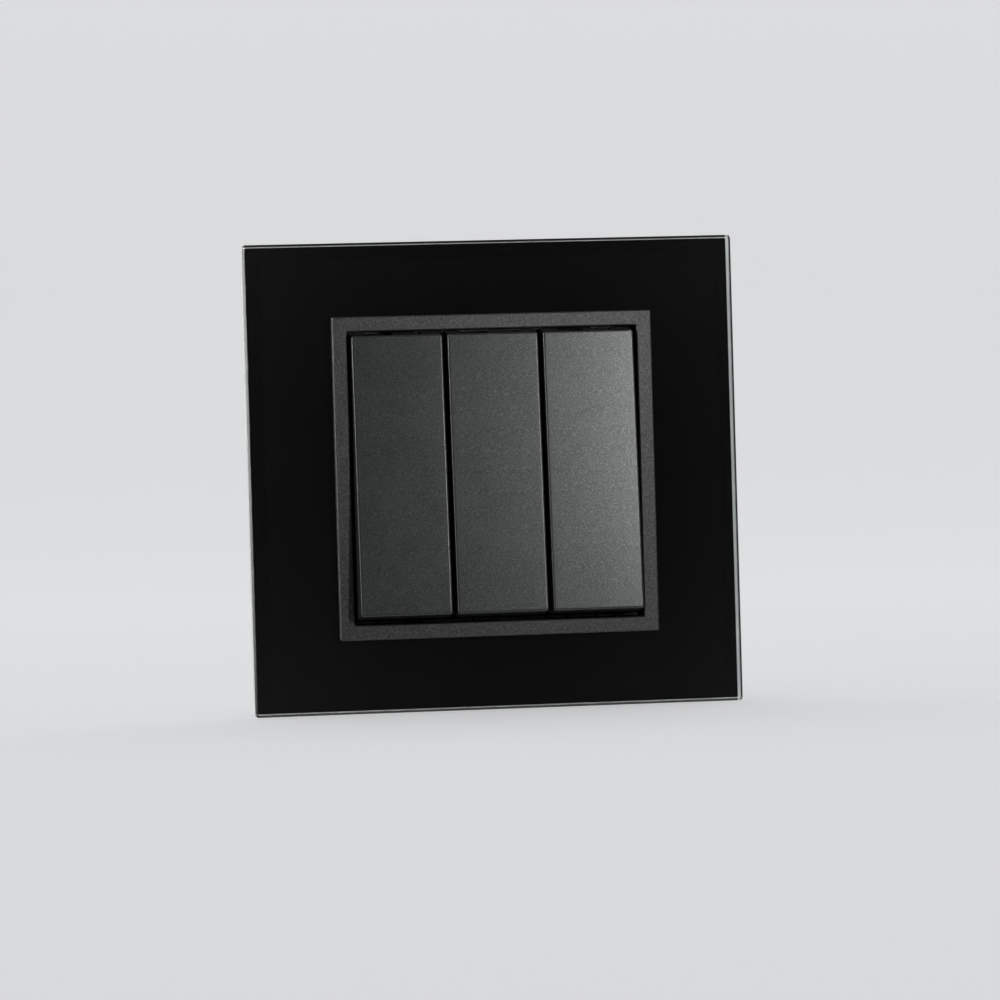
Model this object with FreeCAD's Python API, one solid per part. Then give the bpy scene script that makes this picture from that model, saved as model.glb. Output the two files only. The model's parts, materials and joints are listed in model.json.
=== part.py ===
import FreeCAD, Part
import math
import os
from FreeCAD import Vector

# Flush-mounted light switch with three rocker keys, a trim bezel and a glass frame.
# Millimetres. X to the right, Z up, and Y into the wall: y = 0 is the wall's surface,
# and everything that is seen from the room has a negative y.
# The origin is the middle of the mounting yoke's back, where the wall box is.

# --- glass frame -----------------------------------------------------------
GLASS_W = 87.4
GLASS_H = 83.2
GLASS_FRONT = -9.0
GLASS_BACK = -5.0
GLASS_BEVEL = 0.4
GLASS_BACK_BEVEL = 0.3
GLASS_CORNER = 0.4
GLASS_WINDOW = 53.6
PAD_T = 0.5
PAD_W = 7.0
CARRIER_INSET = 0.7
CARRIER_SKIN = 1.8
CARRIER_WALL = 1.8
CARRIER_WINDOW = 54.4
COLLAR_T = 1.4
YOKE_GAP = 0.5

# --- trim bezel --------------------------------------------------------------
BEZEL = 57.0
BEZEL_OPENING = 51.75
BEZEL_FRONT = -11.0
BEZEL_SKIRT = 53.2
SKIRT_END = -2.7
BEZEL_EDGE = 0.2
BEZEL_CORNER = 0.3

# --- rocker keys and their dollies ---------------------------------------------
KEY_W = 16.2
KEY_H = 49.5
KEY_GAP = 0.85
PITCH = KEY_W + KEY_GAP
GANGS = {"left": -PITCH, "middle": 0.0, "right": PITCH}
PIVOT_Y = -7.5
KEY_FACE = -13.4
KEY_BACK = -7.65
KEY_DRAFT_W = 0.15
KEY_DRAFT_H = 0.35
KEY_SKIN = 1.5
KEY_WALL = 1.4
TILT = 4.5
TRUNNION_R = 1.2
DOLLY_HALF = 5.0
HEAD_HALF_H = 9.0
HEAD_BACK = -9.4
STEM_HALF = 3.5
STEM_END = 3.5
PLUNGER_R = 1.6
PLUNGER_CENTRE = 6.0
PLUNGER_BACK = -1.0
SPRING_SEAT = -5.0
SPRING_R = 1.25
SPRING_WIRE_R = 0.17
SPRING_TURNS = 5

# --- mechanism cover ---------------------------------------------------------
COVER = 51.3
COVER_FRONT = -4.6
COVER_STEP = -2.6
COVER_BASE = 49.5
EAR_IN = 5.3
EAR_OUT = 6.4
EAR_HALF_H = 2.6
EAR_FRONT = -9.2
MERLON_FRONT = -8.2
MERLONS = ((-6.4, 3.4), (-1.9, 4.6), (6.7, 2.6))

# --- yoke, housing and its fasteners ---------------------------------------------
YOKE = 71.0
YOKE_T = 1.0
BOX_SCREW_SPACING = 60.0
SLOT_LENGTH = 7.0
SLOT_W = 4.0
BEAD_L = 17.0
BEAD_W = 2.6
BEAD_H = 0.4
BEAD_PLACE = 16.0
HOUSING_W = 44.8
HOUSING_H = 34.0
HOUSING_D = 26.0
HOUSING_WALL = 1.4
HOUSING_CORNER = 3.0
FLANGE_W = 45.8
FLANGE_H = 36.4
FLANGE_T = 1.6
BACK_WALL = 1.6
SCREW_X = 19.5
SCREW_Z = 13.2
BOSS_R = 2.3
BOSS_END = 10.0
WINDOW_HALF_W = 4.4
WINDOW_HALF_H = 4.8

# --- contacts --------------------------------------------------------------------
FULCRUM_Y = 8.25
SEESAW_TILT = 8.1
SEESAW_FRONT = 0.6
SEESAW_BACK = 0.2
SEESAW_HALF_L = 9.0
SEESAW_HALF_W = 3.0
CONTACT_Z = 7.8
CONTACT_R = 1.4
CONTACT_T = 0.6
FIXED_T = 0.55
STRIP_Y = 11.0
STRIP_T = 0.8
TERMINAL_Z = 12.0
TERMINAL_HALF = 3.4
TERMINAL_FRONT = 16.5
WIRE_R = 1.6
WIRE_ENTRY_R = 2.1
TERMINAL_SCREW_Y = 20.5
THREAD_R = 1.3
OUTPUT_X = {"left": -15.0, "middle": 0.0, "right": 15.0}
COMMON_X = (-8.5, 8.5)

# --- claws -------------------------------------------------------------------------
CLAW_X = 24.6
CLAW_Z = 7.0
CLAW_SCREW_R = 1.5
CLAW_HEAD_R = 2.4
CLAW_FOOT = 24.0
CLAW_FRONT = 5.0


def box(x0, x1, y0, y1, z0, z1):
    """A block between two corners."""
    return Part.makeBox(x1 - x0, y1 - y0, z1 - z0, Vector(x0, y0, z0))


def rod(radius, start, end):
    """A round bar from one point to another."""
    start, end = Vector(*start), Vector(*end)
    return Part.makeCylinder(radius, (end - start).Length, start, end - start)


def along(shape, axis):
    """The straight edges that run along X, Y or Z (0, 1 or 2)."""
    found = []
    for edge in shape.Edges:
        run = edge.Vertexes[-1].Point - edge.Vertexes[0].Point
        if abs(abs(run[axis]) - run.Length) < 1e-6 and run.Length > 1e-6:
            found.append(edge)
    return found


def slab(width, height, y0, y1, corner=0.0, x=0.0, z=0.0):
    """A plate that faces the room, centred on (x, z), with round corners."""
    plate = box(x - width / 2, x + width / 2, y0, y1, z - height / 2, z + height / 2)
    if corner:
        plate = plate.makeFillet(corner, along(plate, 1))
    return plate


def edges_at_y(shape, y):
    """The edges that lie in one plane parallel to the wall."""
    return [e for e in shape.Edges if abs(e.BoundBox.YMin - y) < 1e-6 and e.BoundBox.YLength < 1e-6]


def fuse(first, *others):
    """One solid from touching or overlapping shapes."""
    return first.fuse(list(others)).removeSplitter()


def tipped(shape, angle, y):
    """The shape turned about the X direction, through (y, z = 0)."""
    turned = shape.copy()
    turned.rotate(Vector(0, y, 0), Vector(1, 0, 0), angle)
    return turned


def moved(shape, x=0.0, y=0.0, z=0.0):
    """A copy of the shape in another place."""
    copy = shape.copy()
    copy.translate(Vector(x, y, z))
    return copy


def turned_about_y(shape, angle):
    """A copy of the shape turned about the middle of the switch, as seen from the room."""
    copy = shape.copy()
    copy.rotate(Vector(0, 0, 0), Vector(0, 1, 0), angle)
    return copy


# --- what covers the wall ---------------------------------------------------------

def glass_panel():
    """Bevelled glass with a square window, and its corners nipped off."""
    glass = box(-GLASS_W / 2, GLASS_W / 2, GLASS_FRONT, GLASS_BACK, -GLASS_H / 2, GLASS_H / 2)
    glass = glass.makeChamfer(GLASS_CORNER, along(glass, 1))
    glass = glass.makeChamfer(GLASS_BEVEL, edges_at_y(glass, GLASS_FRONT))
    glass = glass.makeChamfer(GLASS_BACK_BEVEL, edges_at_y(glass, GLASS_BACK))
    return glass.cut(slab(GLASS_WINDOW, GLASS_WINDOW, GLASS_FRONT - 1, GLASS_BACK + 1, 1.0))


def pad_strips(margin):
    """Four strips round the window, each grown by a margin on all its edges."""
    rim = (GLASS_W + GLASS_WINDOW) / 4
    rim_z = (GLASS_H + GLASS_WINDOW) / 4
    back = GLASS_BACK + PAD_T
    upright = slab(PAD_W + 2 * margin, 62.0 + 2 * margin, GLASS_BACK, back, 0.5)
    level = slab(46.0 + 2 * margin, PAD_W + 2 * margin, GLASS_BACK, back, 0.5)
    return [moved(upright, x=-rim), moved(upright, x=rim), moved(level, z=-rim_z), moved(level, z=rim_z)]


def bond_pads():
    """Foam tape that holds the glass on its carrier, in four shallow pockets."""
    return Part.makeCompound(pad_strips(0))


def glass_carrier():
    """Moulded tray behind the glass: skin, outer wall, collar round the window, and ribs."""
    width = GLASS_W - 2 * CARRIER_INSET
    height = GLASS_H - 2 * CARRIER_INSET
    skin_back = GLASS_BACK + CARRIER_SKIN
    rib_end = -YOKE_T - YOKE_GAP
    tray = slab(width, height, GLASS_BACK, 0, 1.5)
    hollow = slab(width - 2 * CARRIER_WALL, height - 2 * CARRIER_WALL, skin_back, 1, 1.0)
    tray = tray.cut(hollow)
    collar_w = CARRIER_WINDOW + 2 * COLLAR_T
    collar = slab(collar_w, collar_w, skin_back - 0.1, rib_end, 1.5)
    reach_x = width / 2 - CARRIER_WALL + 0.1
    reach_z = height / 2 - CARRIER_WALL + 0.1
    ribs = []
    for place in (-24.0, -12.0, 12.0, 24.0):
        ribs.append(box(-reach_x, reach_x, skin_back - 0.1, rib_end, place - 0.5, place + 0.5))
        ribs.append(box(place - 0.5, place + 0.5, skin_back - 0.1, rib_end, -reach_z, reach_z))
    tray = fuse(tray, collar, *ribs)
    tray = tray.cut(slab(CARRIER_WINDOW, CARRIER_WINDOW, GLASS_BACK - 1, 1, 0.8))
    tray = tray.cut(pad_strips(0.2))
    screw_room = BOX_SCREW_SPACING / 2
    for side in (-1, 1):
        tray = tray.cut(slab(11, 9, skin_back, 1, 0, side * screw_room, 0))
        tray = tray.cut(slab(9, 11, skin_back, 1, 0, 0, side * screw_room))
    return tray


def trim_bezel():
    """Square ring that clips to the mechanism and holds the glass frame on."""
    flange = box(-BEZEL / 2, BEZEL / 2, BEZEL_FRONT, GLASS_FRONT, -BEZEL / 2, BEZEL / 2)
    flange = flange.makeFillet(BEZEL_CORNER, along(flange, 1))
    flange = flange.makeChamfer(BEZEL_EDGE, edges_at_y(flange, BEZEL_FRONT))
    skirt = slab(BEZEL_SKIRT, BEZEL_SKIRT, GLASS_FRONT - 0.1, SKIRT_END, 0.8)
    ring = fuse(flange, skirt)
    opening = slab(BEZEL_OPENING, BEZEL_OPENING, BEZEL_FRONT - 1, 0, BEZEL_CORNER)
    mouth = BEZEL_OPENING + 2 * BEZEL_EDGE
    lead_in = slab(mouth, mouth, BEZEL_FRONT - BEZEL_EDGE, BEZEL_FRONT + BEZEL_EDGE, BEZEL_CORNER + BEZEL_EDGE)
    lead_in = lead_in.makeChamfer(BEZEL_EDGE, edges_at_y(lead_in, BEZEL_FRONT + BEZEL_EDGE))
    ring = ring.cut(opening).cut(lead_in)
    inside = BEZEL_OPENING / 2
    outside = BEZEL_SKIRT / 2
    hooks = []
    for place in (-16.0, 16.0):
        leg = box(inside, outside, SKIRT_END - 0.1, -1.5, place - 3, place + 3)
        barb = box(inside - 0.6, inside + 0.1, -2.5, -1.5, place - 3, place + 3)
        hook = barb.fuse(leg)
        hooks += [turned_about_y(hook, turn) for turn in (0, 90, 180, 270)]
    return fuse(ring, *hooks)


# --- what moves with a key -----------------------------------------------------------

def rocker_key():
    """Hollow key in its level position, at x = 0."""
    half_w, half_h = KEY_W / 2, KEY_H / 2
    rim_w, rim_h = half_w + KEY_DRAFT_W, half_h + KEY_DRAFT_H
    key = Part.makeWedge(-half_w, KEY_FACE, -half_h, -rim_h, -rim_w, half_w, KEY_BACK, half_h, rim_h, rim_w)
    key = key.makeFillet(0.5, [edge for edge in key.Edges if edge.BoundBox.YLength > 1])
    key = key.makeFillet(0.4, edges_at_y(key, KEY_FACE))
    inner_w = KEY_W - 2 * KEY_WALL
    inner_h = KEY_H - 2 * KEY_WALL
    inner = KEY_FACE + KEY_SKIN
    key = key.cut(slab(inner_w, inner_h, inner, 0, 0.5))
    ribs = []
    for place in (-20.0, -14.5, 14.5, 20.0):
        ribs.append(box(-inner_w / 2 - 0.1, inner_w / 2 + 0.1, inner - 0.1, inner + 1.8, place - 0.4, place + 0.4))
    for side in (-1, 1):
        low, high = sorted((side * (HEAD_HALF_H + 0.05), side * (HEAD_HALF_H + 1.2)))
        ribs.append(box(-3, 3, inner - 0.1, HEAD_BACK + 0.9, low, high))
        low, high = sorted((side * (HEAD_HALF_H - 0.45), side * (HEAD_HALF_H + 0.2)))
        ribs.append(box(-3, 3, HEAD_BACK + 0.05, HEAD_BACK + 0.9, low, high))
    return fuse(key, *ribs)


def dolly():
    """Lever that carries the key, swings on two trunnions and houses the plunger."""
    inner = KEY_FACE + KEY_SKIN
    head = box(-DOLLY_HALF, DOLLY_HALF, inner, HEAD_BACK, -HEAD_HALF_H, HEAD_HALF_H)
    head = head.makeFillet(0.5, along(head, 1))
    hub = rod(2.0, (-DOLLY_HALF, PIVOT_Y, 0), (DOLLY_HALF, PIVOT_Y, 0))
    web = box(-DOLLY_HALF, DOLLY_HALF, HEAD_BACK - 0.1, PIVOT_Y, -2.0, 2.0)
    trunnion_end = EAR_OUT - 0.05
    trunnions = rod(TRUNNION_R, (-trunnion_end, PIVOT_Y, 0), (trunnion_end, PIVOT_Y, 0))
    stem = box(-STEM_HALF, STEM_HALF, PIVOT_Y, STEM_END, -STEM_HALF + 0.5, STEM_HALF - 0.5)
    stem = stem.makeFillet(0.6, along(stem, 1))
    bore = rod(PLUNGER_R + 0.05, (0, SPRING_SEAT, 0), (0, STEM_END + 1, 0))
    return fuse(head, hub, web, trunnions, stem).cut(bore)


def plunger():
    """Round-nosed pin that the spring pushes out of the dolly."""
    pin = rod(PLUNGER_R, (0, PLUNGER_BACK, 0), (0, PLUNGER_CENTRE, 0))
    nose = Part.makeSphere(PLUNGER_R, Vector(0, PLUNGER_CENTRE, 0))
    return fuse(pin, nose)


def plunger_spring():
    """Coil spring between the dolly and its plunger."""
    length = PLUNGER_BACK - SPRING_SEAT - 2 * SPRING_WIRE_R
    steps = SPRING_TURNS * 12
    points = []
    for i in range(steps + 1):
        turn = 2 * math.pi * SPRING_TURNS * i / steps
        points.append(Vector(SPRING_R * math.cos(turn), SPRING_SEAT + SPRING_WIRE_R + length * i / steps,
                             SPRING_R * math.sin(turn)))
    curve = Part.BSplineCurve()
    curve.interpolate(points)
    start_direction = curve.tangent(curve.FirstParameter)[0]
    section = Part.Wire(Part.Circle(points[0], start_direction, SPRING_WIRE_R).toShape())
    return Part.Wire(curve.toShape()).makePipeShell([section], True, True)


def seesaw():
    """Contact blade in its level position, rocking on the fulcrum at x = 0."""
    blade = box(-SEESAW_HALF_W, SEESAW_HALF_W, FULCRUM_Y - SEESAW_FRONT, FULCRUM_Y + SEESAW_BACK,
                -SEESAW_HALF_L, SEESAW_HALF_L)
    return blade.makeFillet(1.0, along(blade, 1))


def moving_contact():
    """Silver button on the blade's upper end, in the level position."""
    back = FULCRUM_Y + SEESAW_BACK
    return rod(CONTACT_R, (0, back, CONTACT_Z), (0, back + CONTACT_T, CONTACT_Z))


# --- what stays still -------------------------------------------------------------------

def mechanism_cover():
    """Black front cover: three stem windows, bearing ears, end stops and castellated rims."""
    cover = slab(COVER, COVER, COVER_FRONT, COVER_STEP, 0.8)
    base = slab(COVER_BASE, COVER_BASE, COVER_STEP - 0.1, -YOKE_T, 0.8)
    added = []
    removed = []
    rim_in = COVER / 2 - 0.4
    for x in GANGS.values():
        for side in (-1, 1):
            low, high = sorted((x + side * EAR_IN, x + side * EAR_OUT))
            added.append(box(low, high, EAR_FRONT, COVER_FRONT + 0.1, -EAR_HALF_H, EAR_HALF_H))
            low, high = sorted((side * 23.3, side * 24.7))
            added.append(box(x - 5, x + 5, COVER_FRONT - 1.0, COVER_FRONT + 0.1, low, high))
            low, high = sorted((side * rim_in, side * COVER / 2))
            for centre, width in MERLONS:
                middle = x - side * centre
                added.append(box(middle - width / 2, middle + width / 2, MERLON_FRONT,
                                 COVER_FRONT + 0.1, low, high))
        removed.append(rod(TRUNNION_R + 0.05, (x - 7, PIVOT_Y, 0), (x + 7, PIVOT_Y, 0)))
        removed.append(box(x - 7, x + 7, EAR_FRONT - 1, PIVOT_Y, -0.95, 0.95))
        removed.append(slab(2 * WINDOW_HALF_W, 2 * WINDOW_HALF_H, COVER_FRONT - 0.1, 0, 0.8, x))
    for point in corner_points():
        removed.append(rod(1.15, (point[0], COVER_FRONT - 1, point[1]), (point[0], 0, point[1])))
        removed.append(rod(2.2, (point[0], COVER_FRONT - 1, point[1]), (point[0], COVER_FRONT + 1.4, point[1])))
    for side in (-1, 1):
        removed.append(rod(CLAW_HEAD_R + 0.5, (side * CLAW_X, COVER_FRONT - 1, -side * CLAW_Z),
                           (side * CLAW_X, 0, -side * CLAW_Z)))
        removed.append(slab(5, 2 * (CLAW_HEAD_R + 0.5), COVER_FRONT - 1, 0, 0,
                            side * (CLAW_X + 2.5), -side * CLAW_Z))
    return fuse(cover, base, *added).cut(removed)


def corner_points():
    """Where the four long screws hold the cover, yoke and housing together."""
    return [(x, z) for x in (-SCREW_X, SCREW_X) for z in (-SCREW_Z, SCREW_Z)]


def mounting_yoke():
    """Pressed steel plate with the slots that fit a 60 mm wall box."""
    plate = slab(YOKE, YOKE, -YOKE_T, 0, 2.5)
    far = BOX_SCREW_SPACING / 2
    holes = []
    for side in (-1, 1):
        holes.append(slab(SLOT_LENGTH, SLOT_W, -3, 3, SLOT_W / 2 - 0.001, side * far, 0))
        holes.append(slab(SLOT_W, SLOT_LENGTH, -3, 3, SLOT_W / 2 - 0.001, 0, side * far))
        holes.append(rod(CLAW_SCREW_R + 0.08, (side * CLAW_X, -3, -side * CLAW_Z),
                         (side * CLAW_X, 3, -side * CLAW_Z)))
    for x in GANGS.values():
        holes.append(slab(2 * WINDOW_HALF_W, 2 * WINDOW_HALF_H, -3, 3, 0.8, x))
    for point in corner_points():
        holes.append(rod(1.15, (point[0], -3, point[1]), (point[0], 3, point[1])))
    beads = []
    for turn in (0, 90, 180, 270):
        for place in (-BEAD_PLACE, BEAD_PLACE):
            groove = slab(BEAD_L - 0.6, BEAD_W - 0.6, -BEAD_H, 1, BEAD_W / 2 - 0.31, place, far)
            bead = slab(BEAD_L, BEAD_W, -YOKE_T - BEAD_H, -YOKE_T + 0.1, BEAD_W / 2 - 0.01, place, far)
            holes.append(turned_about_y(groove, turn))
            beads.append(turned_about_y(bead, turn))
    return fuse(plate, *beads).cut(holes)


def switch_housing():
    """Moulded pot behind the yoke, with screw bosses, partitions and wire entries."""
    pot = box(-HOUSING_W / 2, HOUSING_W / 2, 0, HOUSING_D, -HOUSING_H / 2, HOUSING_H / 2)
    pot = pot.makeChamfer(HOUSING_CORNER, along(pot, 1))
    pot = pot.makeChamfer(0.8, edges_at_y(pot, HOUSING_D))
    flange = box(-FLANGE_W / 2, FLANGE_W / 2, 0, FLANGE_T, -FLANGE_H / 2, FLANGE_H / 2)
    pot = fuse(pot, flange.makeChamfer(HOUSING_CORNER, along(flange, 1)))
    inner_w = HOUSING_W - 2 * HOUSING_WALL
    inner_h = HOUSING_H - 2 * HOUSING_WALL
    hollow = box(-inner_w / 2, inner_w / 2, -1, HOUSING_D - BACK_WALL, -inner_h / 2, inner_h / 2)
    hollow = hollow.makeChamfer(HOUSING_CORNER - 0.5, along(hollow, 1))
    pot = pot.cut(hollow)
    added = []
    removed = []
    for point in corner_points():
        added.append(rod(BOSS_R, (point[0], 0, point[1]), (point[0], BOSS_END, point[1])))
        removed.append(rod(1.1, (point[0], -1, point[1]), (point[0], BOSS_END - 1, point[1])))
    for x in (-PITCH / 2, PITCH / 2):
        added.append(box(x - 0.5, x + 0.5, 0, STRIP_Y - 1, -inner_h / 2 - 0.1, inner_h / 2 + 0.1))
    for x, side in terminal_places():
        removed.append(rod(WIRE_ENTRY_R, (x, HOUSING_D - BACK_WALL - 1, side * TERMINAL_Z),
                           (x, HOUSING_D + 1, side * TERMINAL_Z)))
        removed.append(rod(2.9, (x, TERMINAL_SCREW_Y, side * 15), (x, TERMINAL_SCREW_Y, side * 18)))
        collar = rod(WIRE_ENTRY_R + 0.9, (x, HOUSING_D - 0.2, side * TERMINAL_Z),
                     (x, HOUSING_D + 0.6, side * TERMINAL_Z))
        added.append(collar)
    for x in (-PITCH / 2, PITCH / 2):
        added.append(box(x - 0.6, x + 0.6, FLANGE_T - 0.1, HOUSING_D - 1.5, HOUSING_H / 2 - 0.1, HOUSING_H / 2 + 0.5))
    return fuse(pot, *added).cut(removed)


def terminal_places():
    """Each terminal's x, and 1 for the upper row or -1 for the lower one."""
    return [(x, 1) for x in OUTPUT_X.values()] + [(x, -1) for x in COMMON_X]


def terminal_block(x, side):
    """Brass block with a wire bore from behind and a clamp screw's hole from its own edge."""
    low, high = sorted((side * (TERMINAL_Z - TERMINAL_HALF), side * (TERMINAL_Z + TERMINAL_HALF)))
    back = HOUSING_D - BACK_WALL
    block = box(x - TERMINAL_HALF, x + TERMINAL_HALF, TERMINAL_FRONT, back, low, high)
    block = block.makeFillet(0.4, along(block, 1))
    wire = rod(WIRE_R, (x, TERMINAL_FRONT + 1, side * TERMINAL_Z), (x, back + 1, side * TERMINAL_Z))
    thread = rod(THREAD_R, (x, TERMINAL_SCREW_Y, side * TERMINAL_Z), (x, TERMINAL_SCREW_Y, side * 18))
    return block, wire, thread


def output_contact(side):
    """Brass strip from a fixed contact to its own upper terminal."""
    x = OUTPUT_X[side]
    block, wire, thread = terminal_block(x, 1)
    contact = GANGS[side]
    tongue = box(contact - 2.2, contact + 2.2, STRIP_Y, STRIP_Y + STRIP_T, 5.6, TERMINAL_Z)
    low, high = min(x, contact) - 2.2, max(x, contact) + 2.2
    cross = box(low, high, STRIP_Y, STRIP_Y + STRIP_T, TERMINAL_Z - 2, TERMINAL_Z)
    drop = box(x - 2.2, x + 2.2, STRIP_Y, TERMINAL_FRONT + 0.2, TERMINAL_Z - STRIP_T, TERMINAL_Z)
    return fuse(block, tongue, cross, drop).cut([wire, thread])


def common_busbar():
    """Brass bar with three fulcrums, ending in the two lower terminals."""
    bar_y = FULCRUM_Y + 5.2
    bar = box(-PITCH - 3, PITCH + 3, bar_y, bar_y + 1.0, -TERMINAL_Z - 1, 1.2)
    pieces = [bar]
    cuts = []
    for x in GANGS.values():
        top = FULCRUM_Y + SEESAW_BACK + 0.05
        pieces.append(rod(0.5, (x - 2.5, top + 0.5, 0), (x + 2.5, top + 0.5, 0)))
        pieces.append(box(x - 2.5, x + 2.5, top + 0.5, bar_y + 0.1, -0.5, 0.5))
    for x in COMMON_X:
        block, wire, thread = terminal_block(x, -1)
        pieces += [block, box(x - 2.5, x + 2.5, bar_y, TERMINAL_FRONT + 0.2, -TERMINAL_Z - 1, -TERMINAL_Z + 1)]
        cuts += [wire, thread]
    return fuse(*pieces).cut(cuts)


def fixed_contacts():
    """Three silver buttons on the output strips."""
    return Part.makeCompound([rod(CONTACT_R, (x, STRIP_Y - FIXED_T, CONTACT_Z), (x, STRIP_Y, CONTACT_Z))
                              for x in GANGS.values()])


def slotted_head(radius, height, slot):
    """Round screw head on the XY plane, its slot across X, pointing along +Z."""
    head = Part.makeCylinder(radius, height)
    head = head.makeFillet(height * 0.3, head.Edges[0])
    return head.cut(Part.makeBox(4 * radius, slot, height, Vector(-2 * radius, -slot / 2, height * 0.5)))


def terminal_screws():
    """Five clamp screws, standing in the terminals with the wires' way left open."""
    screws = []
    for x, side in terminal_places():
        shank = Part.makeCylinder(THREAD_R - 0.05, 1.9, Vector(0, 0, -1.9))
        screw = fuse(slotted_head(2.6, 1.6, 0.7), shank)
        screw.rotate(Vector(0, 0, 0), Vector(0, 0, 1), 25 + 37 * len(screws))
        if side < 0:
            screw.rotate(Vector(0, 0, 0), Vector(1, 0, 0), 180)
        screw.translate(Vector(x, TERMINAL_SCREW_Y, side * (TERMINAL_Z + TERMINAL_HALF + 0.1)))
        screws.append(screw)
    return Part.makeCompound(screws)


def cover_screws():
    """Four long screws through the cover and yoke into the housing's bosses."""
    screws = []
    for x, z in corner_points():
        head = slotted_head(2.1, 1.2, 0.5)
        screw = fuse(head, Part.makeCylinder(1.05, 12.0, Vector(0, 0, -12.0)))
        screw.rotate(Vector(0, 0, 0), Vector(1, 0, 0), 90)
        screw.translate(Vector(x, COVER_FRONT + 1.4, z))
        screws.append(screw)
    return Part.makeCompound(screws)


def claw_screw():
    """The right-hand claw's screw, turned from the front."""
    screw = fuse(slotted_head(CLAW_HEAD_R, 1.3, 0.6),
                 Part.makeCylinder(CLAW_SCREW_R, 26.0, Vector(0, 0, -26.0)))
    screw.rotate(Vector(0, 0, 0), Vector(1, 0, 0), 90)
    screw.translate(Vector(CLAW_X, -YOKE_T, -CLAW_Z))
    return screw


def claw():
    """The right-hand spreading claw: threaded foot, arm, and a toothed front edge."""
    low, high = -CLAW_Z - 3.5, -CLAW_Z + 3.5
    foot = box(22.7, 27.2, CLAW_FOOT - 0.8, CLAW_FOOT + 0.8, low, high)
    arm = box(26.2, 27.2, CLAW_FRONT, CLAW_FOOT + 0.8, low, high)
    teeth = []
    for place in (-CLAW_Z - 2.5, -CLAW_Z, -CLAW_Z + 2.5):
        tooth = Part.makePolygon([Vector(27.1, CLAW_FRONT, place - 0.9), Vector(27.1, CLAW_FRONT + 2.2, place - 0.9),
                                  Vector(28.0, CLAW_FRONT + 0.4, place - 0.9), Vector(27.1, CLAW_FRONT, place - 0.9)])
        teeth.append(Part.Face(tooth).extrude(Vector(0, 0, 1.8)))
    body = fuse(foot, arm, *teeth)
    return body.cut(rod(CLAW_SCREW_R + 0.3, (CLAW_X, CLAW_FOOT - 3, -CLAW_Z), (CLAW_X, CLAW_FOOT + 3, -CLAW_Z)))


def build():
    """Every node by name, at rest: each key pressed in at its top."""
    nodes = {
        "glass_panel": glass_panel(),
        "bond_pads": bond_pads(),
        "glass_carrier": glass_carrier(),
        "trim_bezel": trim_bezel(),
        "mechanism_cover": mechanism_cover(),
        "mounting_yoke": mounting_yoke(),
        "switch_housing": switch_housing(),
        "common_busbar": common_busbar(),
        "fixed_contacts": fixed_contacts(),
        "terminal_screws": terminal_screws(),
        "cover_screws": cover_screws(),
        "claw_right": claw(),
        "claw_left": turned_about_y(claw(), 180),
        "claw_screw_right": claw_screw(),
        "claw_screw_left": turned_about_y(claw_screw(), 180),
    }
    with_key = {"rocker": rocker_key(), "dolly": dolly(), "plunger": plunger(), "plunger_spring": plunger_spring()}
    with_blade = {"contact_blade": seesaw(), "moving_contact": moving_contact()}
    for side, x in GANGS.items():
        for name, shape in with_key.items():
            nodes[name + "_" + side] = moved(tipped(shape, -TILT, PIVOT_Y), x)
        for name, shape in with_blade.items():
            nodes[name + "_" + side] = moved(tipped(shape, SEESAW_TILT, FULCRUM_Y), x)
        nodes["output_contact_" + side] = output_contact(side)
    return nodes


os.makedirs("parts", exist_ok=True)
for node, shape in build().items():
    if not shape.isValid():
        raise ValueError(node + " is not a valid shape")
    shape.exportStep("parts/" + node + ".step")
    print(node, len(shape.Solids), round(shape.Volume, 1))
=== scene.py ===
import json
import math
import bmesh
import bpy
from mathutils import Matrix, Vector


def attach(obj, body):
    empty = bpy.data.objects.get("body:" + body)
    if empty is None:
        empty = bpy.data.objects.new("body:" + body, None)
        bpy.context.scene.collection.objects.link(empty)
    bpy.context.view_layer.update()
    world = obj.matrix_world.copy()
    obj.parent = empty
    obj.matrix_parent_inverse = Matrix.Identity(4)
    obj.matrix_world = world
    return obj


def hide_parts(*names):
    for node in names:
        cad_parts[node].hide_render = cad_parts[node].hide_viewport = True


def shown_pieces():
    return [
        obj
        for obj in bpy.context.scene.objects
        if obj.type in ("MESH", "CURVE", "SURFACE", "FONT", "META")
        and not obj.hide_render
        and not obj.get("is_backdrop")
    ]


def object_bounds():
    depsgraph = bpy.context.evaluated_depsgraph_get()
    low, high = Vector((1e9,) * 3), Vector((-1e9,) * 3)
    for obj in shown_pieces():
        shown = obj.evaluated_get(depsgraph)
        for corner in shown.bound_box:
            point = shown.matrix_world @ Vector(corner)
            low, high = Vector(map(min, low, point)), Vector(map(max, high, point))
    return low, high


# Looks for the three-gang rocker switch. Metres; X to the right, Z up, Y into the wall.

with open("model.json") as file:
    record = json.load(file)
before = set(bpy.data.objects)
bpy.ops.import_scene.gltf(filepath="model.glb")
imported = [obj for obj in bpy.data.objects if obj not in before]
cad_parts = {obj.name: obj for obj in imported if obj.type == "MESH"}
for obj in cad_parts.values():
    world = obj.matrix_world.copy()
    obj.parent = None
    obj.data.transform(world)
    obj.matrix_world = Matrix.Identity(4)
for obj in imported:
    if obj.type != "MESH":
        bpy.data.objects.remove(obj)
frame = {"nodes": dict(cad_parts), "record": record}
bounds_after_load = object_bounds()
nodes = frame["nodes"]
record = frame["record"]
slot_of = {part["node"]: part["material_slot"] for part in record["subparts"]}
body_of = {name: body for body, members in record["behaviour"]["bodies"].items() for name in members}
MM = 0.001

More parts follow.
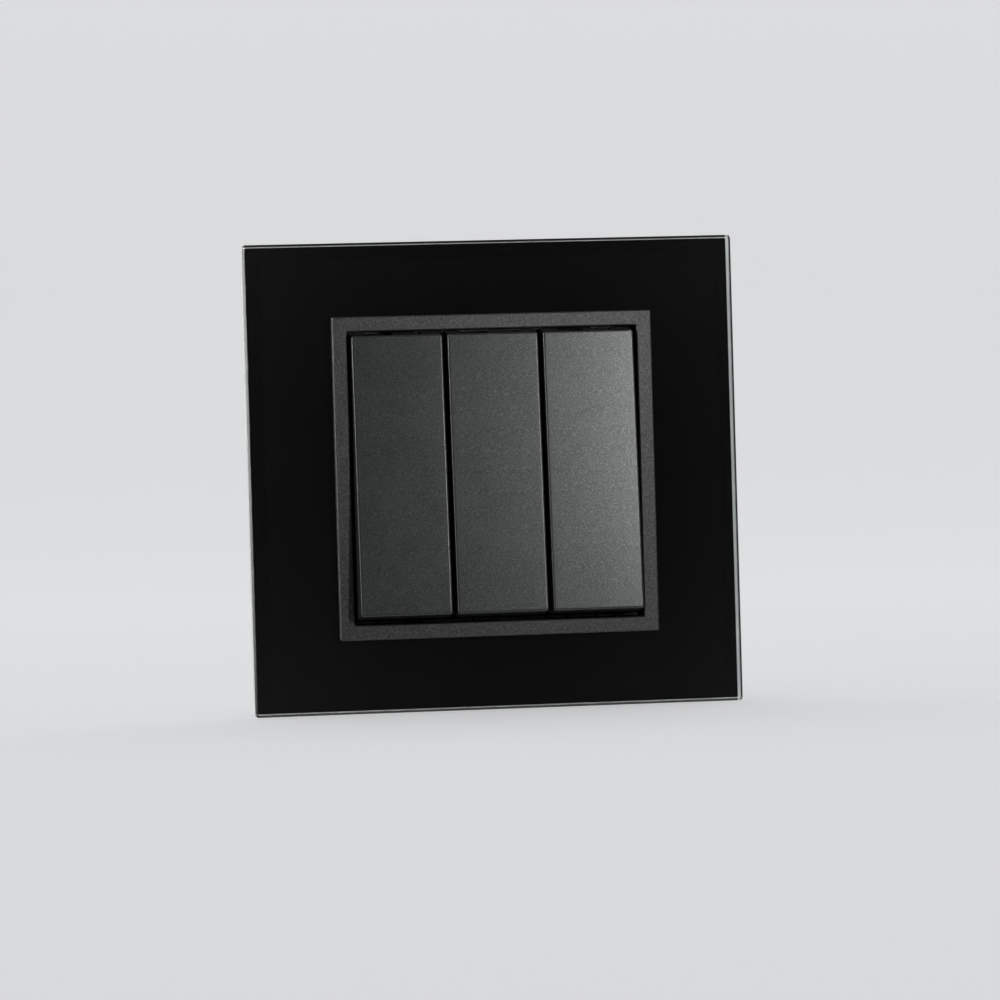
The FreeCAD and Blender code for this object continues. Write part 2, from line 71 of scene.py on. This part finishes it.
# --- camera: degrees, with the distance in metres and the lens in mm ----------------------
CAMERA_DISTANCE = 0.8
CAMERA_YAW = -8.09  # it stands to the left of straight ahead
CAMERA_PITCH = 0.39
CAMERA_ROLL = -1.63
CAMERA_TURN = 0.159  # how far it looks right of the object's middle
CAMERA_TILT = -0.327  # how far it looks above the middle
CAMERA_LENS = 160.7
SENSOR_W = 36.0
CLIP_NEAR, CLIP_FAR = 0.01, 20.0

# --- glass frame, mm ----------------------------------------------------------------------
GLASS_W = 87.4
GLASS_H = 83.2
GLASS_FRONT = -9.0
GLASS_BACK = -5.02
GLASS_NIP = 0.4
NIP_PER_INSET = 0.586  # 2 - sqrt(2): the bevel is as wide at the nipped corners
FRONT_BEVEL = 0.40
BACK_BEVEL_W = 0.45
BACK_BEVEL_DEPTH = 0.42
CLEAR_BORDER = 3.0
WINDOW = 53.6
WINDOW_CORNER = 1.0
CORNER_STEPS = 6
ROUNDING = 0.05
ROUNDING_STEPS = 2
SHARP_DEG = 25

# --- claw screws, mm ----------------------------------------------------------------------
CLAW_X = 24.6
CLAW_Z = 7.0
SHANK_FRONT = -1.0
SHANK_END = 25.0
THREAD_START = 8.0
THREAD_R = 1.48
THREAD_DEPTH = 0.28
THREAD_PITCH = 0.5
THREAD_STEPS = 6  # rings to each turn of the thread
SCREW_SIDES = 24
HEAD_R = 2.4
HEAD_FRONT = -2.3
HEAD_ROUND = 0.3
HEAD_ROUND_MIDDLE = 0.09
AXIS_R = 0.01
SLOT_W = 0.6
SLOT_DEPTH = 0.65

# --- stage, metres ------------------------------------------------------------------------
STAGE_COLOUR = (0.76, 0.764, 0.773)
GLOW_COLOUR = (0.985, 0.993, 1.01, 1.0)
FLOOR_GLOW = 0.405
WALL_GLOW = 0.443
GLOW_RISE = 0.25  # height over which one becomes the other
FLOOR_NEAR = -2.2
FLOOR_FAR = 0.55
BACKDROP_TOP = 2.2
BACKDROP_HALF_W = 2.5
SURROUND_R = 1.6
SURROUND_TOP = 3.0
SURROUND_SIDES = 72
CURVE_R = 0.5
CURVE_STEPS = 12

# --- lights: watts, metres, degrees -------------------------------------------------------
SOFTBOX_COLOUR = (1.0, 0.99, 0.97)
BEAM_DEG = 90
KEY_WATTS = 0.158
KEY_SIZE = (0.02, 0.10)
KEY_PLACE = (0.129, -0.345, 0.072)
LEFT_WATTS = 0.5
LEFT_SIZE = (0.06, 0.26)
LEFT_PLACE = (-0.45, -0.08, 0.18)

# --- light from all round: directions in degrees right of straight ahead and up -----------
SIDES_FROM, SIDES_FULL, SIDES_LIGHT = -0.93, -0.60, 0.32  # by the direction's Y
BELOW_FULL, BELOW_TO, BELOW_LIGHT = -0.80, -0.35, 0.55  # by the direction's Z
MIRRORED = (8.2, -0.3)  # what the glass front mirrors to the camera
CARD_EDGE, CARD_MIDDLE = (5.1, 0.21), (1.5, 0.05)  # degrees off that direction, light
RING_OUTSIDE, RING_INSIDE = (9.0, -0.20), (5.5, 0.0)
LEFT_WINDOW = (-85.0, 5.0)
LEFT_OUTSIDE, LEFT_INSIDE = (9.0, 0.0), (4.0, 7.0)

# --- noise values between which each effect comes in --------------------------------------
PATCHES = (0.3, 0.7)
SCUFFS = (0.56, 0.72)
# painted glints: pale colour on the grain's peaks standing in for a sparkle of light
PAINTED_GLINT_RANGE = (0.55, 0.72)
# painted shade: darker colour in the grain's hollows
PAINTED_PIT_SHADE_RANGE = (0.38, 0.62)
SPECULAR = 0.5  # the shader's own value


# --- materials ----------------------------------------------------------------------------

def node(tree, kind, **values):
    """A new node, with the values of its inputs."""
    made = tree.nodes.new(kind)
    for name, value in values.items():
        made.inputs[name.replace("_", " ")].default_value = value
    return made


def noise(tree, place, size_mm, detail=3.0, roughness=0.5):
    """Noise whose blobs are about size_mm across."""
    made = node(tree, "ShaderNodeTexNoise", Scale=1000.0 / size_mm, Detail=detail, Roughness=roughness)
    tree.links.new(place.outputs["Object"], made.inputs["Vector"])
    return made


def spread(tree, value, low, high, to_low, to_high):
    """A value's range low..high stretched to another range."""
    made = node(tree, "ShaderNodeMapRange", From_Min=low, From_Max=high, To_Min=to_low, To_Max=to_high)
    tree.links.new(value, made.inputs["Value"])
    return made.outputs["Result"]


def blend(tree, factor, first, second):
    """Mix of two colours; each is a colour or a socket."""
    made = tree.nodes.new("ShaderNodeMix")
    made.data_type = "RGBA"
    tree.links.new(factor, made.inputs["Factor"])
    for socket, colour in ((made.inputs[6], first), (made.inputs[7], second)):
        if isinstance(colour, bpy.types.NodeSocket):
            tree.links.new(colour, socket)
        else:
            socket.default_value = (*colour, 1.0)
    return made.outputs[2]


def finish(name, colour, rough, metal=0.0, vary=0.12, patch_mm=9.0, grain_mm=0.25, depth_mm=0.008,
           wear=0.10, worn_colour=None, painted_glints=0.0, painted_pit_shade=0.0, rough_vary=0.03, **sockets):
    """A material: patches of colour, a grained surface, and worn places that are paler and rougher.

    The grain's peaks can get painted glints, pale colour in place of a sparkle of light; its hollows can get
    painted shade, darker colour, with their specular lowered.
    """
    material = bpy.data.materials.new(name)
    material.use_nodes = True
    tree = material.node_tree
    shader = tree.nodes["Principled BSDF"]
    place = tree.nodes.new("ShaderNodeTexCoord")
    patches = noise(tree, place, patch_mm)
    shade = spread(tree, patches.outputs["Fac"], *PATCHES, 0.0, 1.0)
    tint = blend(tree, shade, [c * (1 - vary) for c in colour], [min(1.0, c * (1 + vary)) for c in colour])
    scuffs = noise(tree, place, patch_mm * 0.6, detail=6.0, roughness=0.7)
    worn = spread(tree, scuffs.outputs["Fac"], *SCUFFS, 0.0, wear)
    paler = worn_colour or [min(1.0, c * 1.8 + 0.02) for c in colour]
    tint = blend(tree, worn, tint, paler)
    grain = noise(tree, place, grain_mm, detail=4.0, roughness=0.6)
    # painted glints: the grain's peaks get pale colour in place of a sparkle of light
    if painted_glints:
        painted_glint = spread(tree, grain.outputs["Fac"], *PAINTED_GLINT_RANGE, 0.0, painted_glints)
        tint = blend(tree, painted_glint, tint, [min(1.0, c * 4 + 0.05) for c in colour])
    # painted shade: the grain's hollows get darker colour, and their specular is lowered
    if painted_pit_shade:
        tint = blend(tree, spread(tree, grain.outputs["Fac"], *PAINTED_PIT_SHADE_RANGE, painted_pit_shade, 0.0), tint, (0.0, 0.0, 0.0))
        dulled = spread(tree, grain.outputs["Fac"], *PAINTED_PIT_SHADE_RANGE, SPECULAR * (1 - painted_pit_shade), SPECULAR)
        tree.links.new(dulled, shader.inputs["Specular IOR Level"])
    tree.links.new(tint, shader.inputs["Base Color"])
    roughness = tree.nodes.new("ShaderNodeMath")
    roughness.operation = "ADD"
    base = spread(tree, patches.outputs["Fac"], *PATCHES, rough - rough_vary, rough + rough_vary)
    tree.links.new(base, roughness.inputs[0])
    tree.links.new(worn, roughness.inputs[1])
    tree.links.new(roughness.outputs[0], shader.inputs["Roughness"])
    bump = node(tree, "ShaderNodeBump", Strength=1.0, Distance=depth_mm * MM)
    tree.links.new(grain.outputs["Fac"], bump.inputs["Height"])
    tree.links.new(bump.outputs["Normal"], shader.inputs["Normal"])
    shader.inputs["Metallic"].default_value = metal
    for socket, value in sockets.items():
        shader.inputs[socket.replace("_", " ")].default_value = value
    return material


materials = {
    "black_glass": finish("clear_glass", (0.93, 0.97, 0.95), 0.012, vary=0.01, patch_mm=20, grain_mm=30,
                          depth_mm=0.0002, wear=0.01, worn_colour=(0.9, 0.93, 0.9), rough_vary=0.004,
                          Transmission_Weight=1.0, IOR=1.5),
    "foam_tape": finish("foam_tape", (0.75, 0.75, 0.72), 0.85, patch_mm=3, grain_mm=0.3, depth_mm=0.05),
    "black_plastic": finish("black_plastic", (0.005, 0.005, 0.005), 0.6, vary=0.2, grain_mm=0.2,
                            depth_mm=0.006, Specular_IOR_Level=0.15),
    # the trim and the keys carry painted glints on the grain's peaks and painted shade in its hollows
    "anthracite_trim": finish("anthracite_trim", (0.014, 0.0145, 0.0145), 0.43, vary=0.08, patch_mm=6,
                              grain_mm=0.28, depth_mm=0.025, painted_glints=0.25, painted_pit_shade=0.45, wear=0.01,
                              rough_vary=0.01),
    "anthracite_key": finish("anthracite_key", (0.017, 0.0188, 0.0183), 0.25, vary=0.08, patch_mm=7,
                             grain_mm=0.27, depth_mm=0.007, painted_glints=0.09, painted_pit_shade=0.40, wear=0.005,
                             rough_vary=0.006, Specular_Tint=(0.95, 1.0, 0.985, 1.0)),
    "dolly_plastic": finish("dolly_plastic", (0.02, 0.02, 0.022), 0.45, vary=0.15),
    "plunger_plastic": finish("plunger_plastic", (0.80, 0.79, 0.74), 0.30, vary=0.05, depth_mm=0.003),
    "grey_moulding": finish("grey_moulding", (0.50, 0.51, 0.50), 0.55, vary=0.05, patch_mm=14,
                            grain_mm=0.3, depth_mm=0.02, worn_colour=(0.40, 0.40, 0.38)),
    "zinc_steel": finish("zinc_steel", (0.62, 0.63, 0.65), 0.32, metal=1.0, vary=0.12, patch_mm=4,
                         grain_mm=0.4, depth_mm=0.006, wear=0.3, worn_colour=(0.42, 0.42, 0.41)),
    "screw_steel": finish("screw_steel", (0.66, 0.65, 0.60), 0.28, metal=1.0, vary=0.1, patch_mm=2,
                          grain_mm=0.3, depth_mm=0.006, wear=0.3, worn_colour=(0.45, 0.44, 0.40)),
    "spring_steel": finish("spring_steel", (0.50, 0.50, 0.50), 0.25, metal=1.0, vary=0.1, patch_mm=1,
                           grain_mm=0.1, depth_mm=0.003, worn_colour=(0.3, 0.3, 0.3)),
    "copper_blade": finish("copper_blade", (0.72, 0.42, 0.27), 0.28, metal=1.0, vary=0.15, patch_mm=4,
                           grain_mm=0.3, depth_mm=0.004, wear=0.4, worn_colour=(0.45, 0.25, 0.16)),
    "brass": finish("brass", (0.76, 0.58, 0.27), 0.26, metal=1.0, vary=0.12, patch_mm=5, grain_mm=0.3,
                    depth_mm=0.005, wear=0.4, worn_colour=(0.45, 0.33, 0.16)),
    "contact_silver": finish("contact_silver", (0.80, 0.79, 0.76), 0.24, metal=1.0, vary=0.08, patch_mm=1,
                             grain_mm=0.2, depth_mm=0.004, wear=0.3, worn_colour=(0.5, 0.48, 0.42)),
}
back_paint = finish("back_paint", (0.0012, 0.0012, 0.0014), 0.5, vary=0.2, grain_mm=1.5, depth_mm=0.002,
                    wear=0.002, Specular_IOR_Level=0.0)
painted_glass = finish("painted_glass", (0.0012, 0.0012, 0.0014), 0.012, vary=0.2, grain_mm=30,
                       depth_mm=0.0002, wear=0.002, rough_vary=0.004)
ground_edge = finish("ground_edge", (0.95, 0.98, 0.97), 0.85, vary=0.03, patch_mm=3, grain_mm=0.08,
                     depth_mm=0.01, wear=0.05, worn_colour=(0.8, 0.83, 0.82), Transmission_Weight=0.6,
                     IOR=1.5)


# --- own pieces ---------------------------------------------------------------------------

def ring(width, height, nip, y, round_corner):
    """Points round a rectangle, counterclockwise from the room; corners nipped straight or rounded."""
    points = []
    for sx, sz, start in ((1, 1, 0), (-1, 1, 90), (-1, -1, 180), (1, -1, 270)):
        for i in range(CORNER_STEPS + 1):
            angle = math.radians(start + 90.0 * i / CORNER_STEPS)
            if round_corner:
                dx, dz = nip * (1 - abs(math.cos(angle))), nip * (1 - abs(math.sin(angle)))
            else:
                share = i / CORNER_STEPS
                first, last = (share, 1 - share) if start in (0, 180) else (1 - share, share)
                dx, dz = nip * first, nip * last
            points.append((sx * (width / 2 - dx) * MM, y * MM, sz * (height / 2 - dz) * MM))
    return points


def strips(name, rings, slots, closed=False):
    """Mesh from rings of equal length; slots gives each band's material slot."""
    mesh = bmesh.new()
    loops = [[mesh.verts.new(p) for p in points] for points in rings]
    count = len(rings[0])
    pairs = zip(loops, loops[1:] + ([loops[0]] if closed else []))
    for band, (near, far) in enumerate(pairs):
        for i in range(count):
            j = (i + 1) % count
            face = mesh.faces.new((near[i], near[j], far[j], far[i]))
            face.material_index = slots[band]
    if not closed:
        mesh.faces.new(reversed(loops[0]))
        mesh.faces.new(loops[-1])
    bmesh.ops.recalc_face_normals(mesh, faces=mesh.faces)
    return as_object(name, mesh)


def as_object(name, mesh):
    """A bmesh made into an object of the scene."""
    data = bpy.data.meshes.new(name)
    mesh.to_mesh(data)
    mesh.free()
    made = bpy.data.objects.new(name, data)
    bpy.context.scene.collection.objects.link(made)
    return made


def glass_frame():
    """Glass with a polished bevel and ground edges, clear at the border and black further in.

    The black paint lies on the back. Inside the border the front carries the colour itself,
    because clear glass over black paint renders with noise when it's seen at a slant.
    """
    # each ring: how far in from the full outline, and y
    outer = ((FRONT_BEVEL, GLASS_FRONT), (0.0, GLASS_FRONT + FRONT_BEVEL),
             (0.0, GLASS_BACK - BACK_BEVEL_DEPTH), (BACK_BEVEL_W, GLASS_BACK))
    rings = [ring(GLASS_W - 2 * inset, GLASS_H - 2 * inset, GLASS_NIP - NIP_PER_INSET * inset, y, False)
             for inset, y in outer]
    rings.append(ring(WINDOW, WINDOW, WINDOW_CORNER, GLASS_BACK, True))
    rings.append(ring(WINDOW, WINDOW, WINDOW_CORNER, GLASS_FRONT, True))
    rings.append(ring(GLASS_W - 2 * CLEAR_BORDER, GLASS_H - 2 * CLEAR_BORDER, GLASS_NIP, GLASS_FRONT, False))
    made = strips("glass_frame", rings, (0, 1, 1, 2, 1, 3, 0), closed=True)
    for material in (materials["black_glass"], ground_edge, back_paint, painted_glass):
        made.data.materials.append(material)
    bevel = made.modifiers.new("rounding", "BEVEL")
    bevel.width = ROUNDING * MM
    bevel.segments = ROUNDING_STEPS
    bevel.limit_method = "ANGLE"
    bevel.angle_limit = math.radians(SHARP_DEG)
    return made


def claw_screw(name, side):
    """Slotted screw whose shank has a real thread; side is 1 for the right-hand one."""
    middle_x, middle_z = side * CLAW_X * MM, -side * CLAW_Z * MM
    length = SHANK_END - THREAD_START
    steps = round(length / THREAD_PITCH * THREAD_STEPS)
    profile = [(AXIS_R, HEAD_FRONT), (HEAD_R - HEAD_ROUND, HEAD_FRONT),
               (HEAD_R - HEAD_ROUND_MIDDLE, HEAD_FRONT + HEAD_ROUND_MIDDLE),
               (HEAD_R, HEAD_FRONT + HEAD_ROUND), (HEAD_R, SHANK_FRONT), (THREAD_R, SHANK_FRONT)]
    profile += [(THREAD_R, THREAD_START + length * i / steps) for i in range(steps + 1)]
    profile.append((AXIS_R, SHANK_END))
    rings = []
    for radius, y in profile:
        points = []
        for i in range(SCREW_SIDES):
            turn = i / SCREW_SIDES
            groove = 0.0
            if y > THREAD_START and radius == THREAD_R:
                phase = (y / THREAD_PITCH - turn) % 1.0
                groove = THREAD_DEPTH * (1 - abs(2 * phase - 1))
            reach = (radius - groove) * MM
            angle = 2 * math.pi * turn
            points.append((middle_x + reach * math.cos(angle), y * MM, middle_z + reach * math.sin(angle)))
        rings.append(points)
    made = strips(name + "_threaded", rings, [0] * len(rings))
    bpy.ops.mesh.primitive_cube_add(size=1.0, location=(middle_x, HEAD_FRONT * MM, middle_z))
    cutter = bpy.context.object
    cutter.scale = (3 * HEAD_R * MM, 2 * SLOT_DEPTH * MM, SLOT_W * MM)
    slot = made.modifiers.new("slot", "BOOLEAN")
    slot.operation = "DIFFERENCE"
    slot.object = cutter
    graph = bpy.context.evaluated_depsgraph_get()
    cut = bpy.data.meshes.new_from_object(made.evaluated_get(graph))
    made.modifiers.clear()
    made.data = cut
    bpy.data.objects.remove(cutter)
    made.data.materials.clear()
    made.data.materials.append(materials["screw_steel"])
    return made


def stand_in(made, name):
    """The piece takes the place of the CAD node of that name."""
    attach(made, body_of[name])
    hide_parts(name)


stand_in(glass_frame(), "glass_panel")
stand_in(claw_screw("claw_screw_right", 1), "claw_screw_right")
stand_in(claw_screw("claw_screw_left", -1), "claw_screw_left")
for name, made in nodes.items():
    made.data.materials.clear()
    made.data.materials.append(materials[slot_of[name]])


# --- stage --------------------------------------------------------------------------------

def curve_up(start, floor_z, top):
    """Places (distance out, height) where the floor curves up into a wall."""
    places = [(start, floor_z)]
    for i in range(1, CURVE_STEPS + 1):
        angle = math.radians(90.0 * i / CURVE_STEPS)
        places.append((start + CURVE_R * math.sin(angle), floor_z + CURVE_R * (1 - math.cos(angle))))
    places.append((start + CURVE_R, floor_z + top))
    return places


def cyclorama(floor_z, paper):
    """Floor that curves up into a wall behind the object."""
    profile = [(FLOOR_NEAR, floor_z)] + curve_up(FLOOR_FAR, floor_z, BACKDROP_TOP)
    mesh = bmesh.new()
    left, right = [[mesh.verts.new((x, y, z)) for y, z in profile]
                   for x in (-BACKDROP_HALF_W, BACKDROP_HALF_W)]
    for i in range(len(profile) - 1):
        face = mesh.faces.new((left[i], right[i], right[i + 1], left[i + 1]))
        face.smooth = True
    made = as_object("floor", mesh)
    made.data.materials.append(paper)
    made.visible_glossy = False
    made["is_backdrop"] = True


def surround(floor_z, paper):
    """Paper wall all round, further out. Only the camera sees it, so it blocks no light."""
    turns = [2 * math.pi * i / SURROUND_SIDES for i in range(SURROUND_SIDES)]
    mesh = bmesh.new()
    rows = [[mesh.verts.new((r * math.cos(turn), r * math.sin(turn), z)) for turn in turns]
            for r, z in curve_up(SURROUND_R, floor_z, SURROUND_TOP)]
    for near, far in zip(rows, rows[1:]):
        for i in range(SURROUND_SIDES):
            j = (i + 1) % SURROUND_SIDES
            face = mesh.faces.new((near[i], near[j], far[j], far[i]))
            face.smooth = True
    made = as_object("surround", mesh)
    made.data.materials.append(paper)
    for kind in ("diffuse", "glossy", "transmission", "volume_scatter", "shadow"):
        setattr(made, "visible_" + kind, False)
    made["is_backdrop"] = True


def stage_paper(floor_z):
    """Pale paper with a faint glow of its own, which keeps the backdrop even."""
    paper = finish("floor", STAGE_COLOUR, 0.5, vary=0.004, patch_mm=300, grain_mm=3, depth_mm=0.0,
                   wear=0.0, rough_vary=0.02, Emission_Color=GLOW_COLOUR, Specular_IOR_Level=0.0)
    tree = paper.node_tree
    place = tree.nodes.new("ShaderNodeTexCoord")
    axes = tree.nodes.new("ShaderNodeSeparateXYZ")
    tree.links.new(place.outputs["Object"], axes.inputs["Vector"])
    glow = spread(tree, axes.outputs["Z"], floor_z, floor_z + GLOW_RISE, FLOOR_GLOW, WALL_GLOW)
    tree.links.new(glow, tree.nodes["Principled BSDF"].inputs["Emission Strength"])
    return paper


# --- light and camera ---------------------------------------------------------------------

def softbox(name, watts, size, place):
    """Rectangular light aimed at the object's middle."""
    light = bpy.data.lights.new(name, "AREA")
    light.shape = "RECTANGLE"
    light.size, light.size_y = size
    light.energy = watts
    light.color = SOFTBOX_COLOUR
    light.spread = math.radians(BEAM_DEG)
    made = bpy.data.objects.new(name, light)
    made.location = place
    made.visible_camera = False
    made.rotation_euler = (-Vector(place)).to_track_quat("-Z", "Y").to_euler()
    bpy.context.scene.collection.objects.link(made)
    return made


def light_only_the_object(*lights):
    """Keeps these lights off the floor, which then has no bright pool."""
    lit = bpy.data.collections.new("lit_pieces")
    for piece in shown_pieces():
        lit.objects.link(piece)
    for made in lights:
        made.light_linking.receiver_collection = lit


def from_front(right_deg, up_deg):
    """Direction from the object: degrees right of straight ahead, and up."""
    a, e = math.radians(right_deg), math.radians(up_deg)
    return Vector((math.sin(a) * math.cos(e), -math.cos(a) * math.cos(e), math.sin(e)))


def spot(tree, place, direction, outside, inside):
    """Light that changes with the angle off a direction; outside and inside are (degrees, light)."""
    angle = node(tree, "ShaderNodeVectorMath")
    angle.operation = "DOT_PRODUCT"
    tree.links.new(place.outputs["Generated"], angle.inputs[0])
    angle.inputs[1].default_value = from_front(*direction)
    low, high = (math.cos(math.radians(degrees)) for degrees, _ in (outside, inside))
    return spread(tree, angle.outputs["Value"], low, high, outside[1], inside[1])


def surroundings():
    """Light from all round, the sum of five parts.

    The sides and the back are pale and the front is dark. A faint ring stands round the
    direction that the glass mirrors to the camera: card makes its dark middle and ring ends
    it outside. Light also comes from below, and from a small window at the left.
    """
    world = bpy.data.worlds.new("studio")
    world.use_nodes = True
    tree = world.node_tree
    place = tree.nodes.new("ShaderNodeTexCoord")
    axes = tree.nodes.new("ShaderNodeSeparateXYZ")
    tree.links.new(place.outputs["Generated"], axes.inputs["Vector"])
    total = spread(tree, axes.outputs["Y"], SIDES_FROM, SIDES_FULL, 0.0, SIDES_LIGHT)
    card = spot(tree, place, MIRRORED, CARD_EDGE, CARD_MIDDLE)
    ring_end = spot(tree, place, MIRRORED, RING_OUTSIDE, RING_INSIDE)
    below = spread(tree, axes.outputs["Z"], BELOW_FULL, BELOW_TO, BELOW_LIGHT, 0.0)
    window = spot(tree, place, LEFT_WINDOW, LEFT_OUTSIDE, LEFT_INSIDE)
    for part in (card, ring_end, below, window):
        added = tree.nodes.new("ShaderNodeMath")
        tree.links.new(total, added.inputs[0])
        tree.links.new(part, added.inputs[1])
        total = added.outputs[0]
    background = tree.nodes["Background"]
    background.inputs["Color"].default_value = (1.0, 1.0, 1.0, 1.0)
    tree.links.new(total, background.inputs["Strength"])
    bpy.context.scene.world = world


def turned(first, second, degrees):
    """Two axes turned in their own plane, the first towards the second."""
    a = math.radians(degrees)
    return first * math.cos(a) + second * math.sin(a), second * math.cos(a) - first * math.sin(a)


def camera():
    """The camera, turned and tilted a little off the object's middle."""
    back = from_front(CAMERA_YAW, CAMERA_PITCH)
    ahead = -back
    right = ahead.cross(Vector((0, 0, 1))).normalized()
    up = right.cross(ahead)
    right, up = turned(right, up, CAMERA_ROLL)
    ahead, right = turned(ahead, right, CAMERA_TURN)
    ahead, up = turned(ahead, up, CAMERA_TILT)
    data = bpy.data.cameras.new("camera")
    data.lens = CAMERA_LENS
    data.sensor_width = SENSOR_W
    data.clip_start = CLIP_NEAR
    data.clip_end = CLIP_FAR
    made = bpy.data.objects.new("camera", data)
    axes = Matrix((right, up, -ahead)).transposed().to_4x4()
    made.matrix_world = Matrix.Translation(back * CAMERA_DISTANCE) @ axes
    bpy.context.scene.collection.objects.link(made)
    bpy.context.scene.camera = made


floor_z = bounds_after_load[0][2]
paper = stage_paper(floor_z)
cyclorama(floor_z, paper)
surround(floor_z, paper)
light_only_the_object(softbox("key_light", KEY_WATTS, KEY_SIZE, KEY_PLACE),
                      softbox("left_light", LEFT_WATTS, LEFT_SIZE, LEFT_PLACE))
surroundings()
camera()
bpy.context.scene.view_settings.view_transform = "Standard"
bpy.context.scene.view_settings.look = "None"
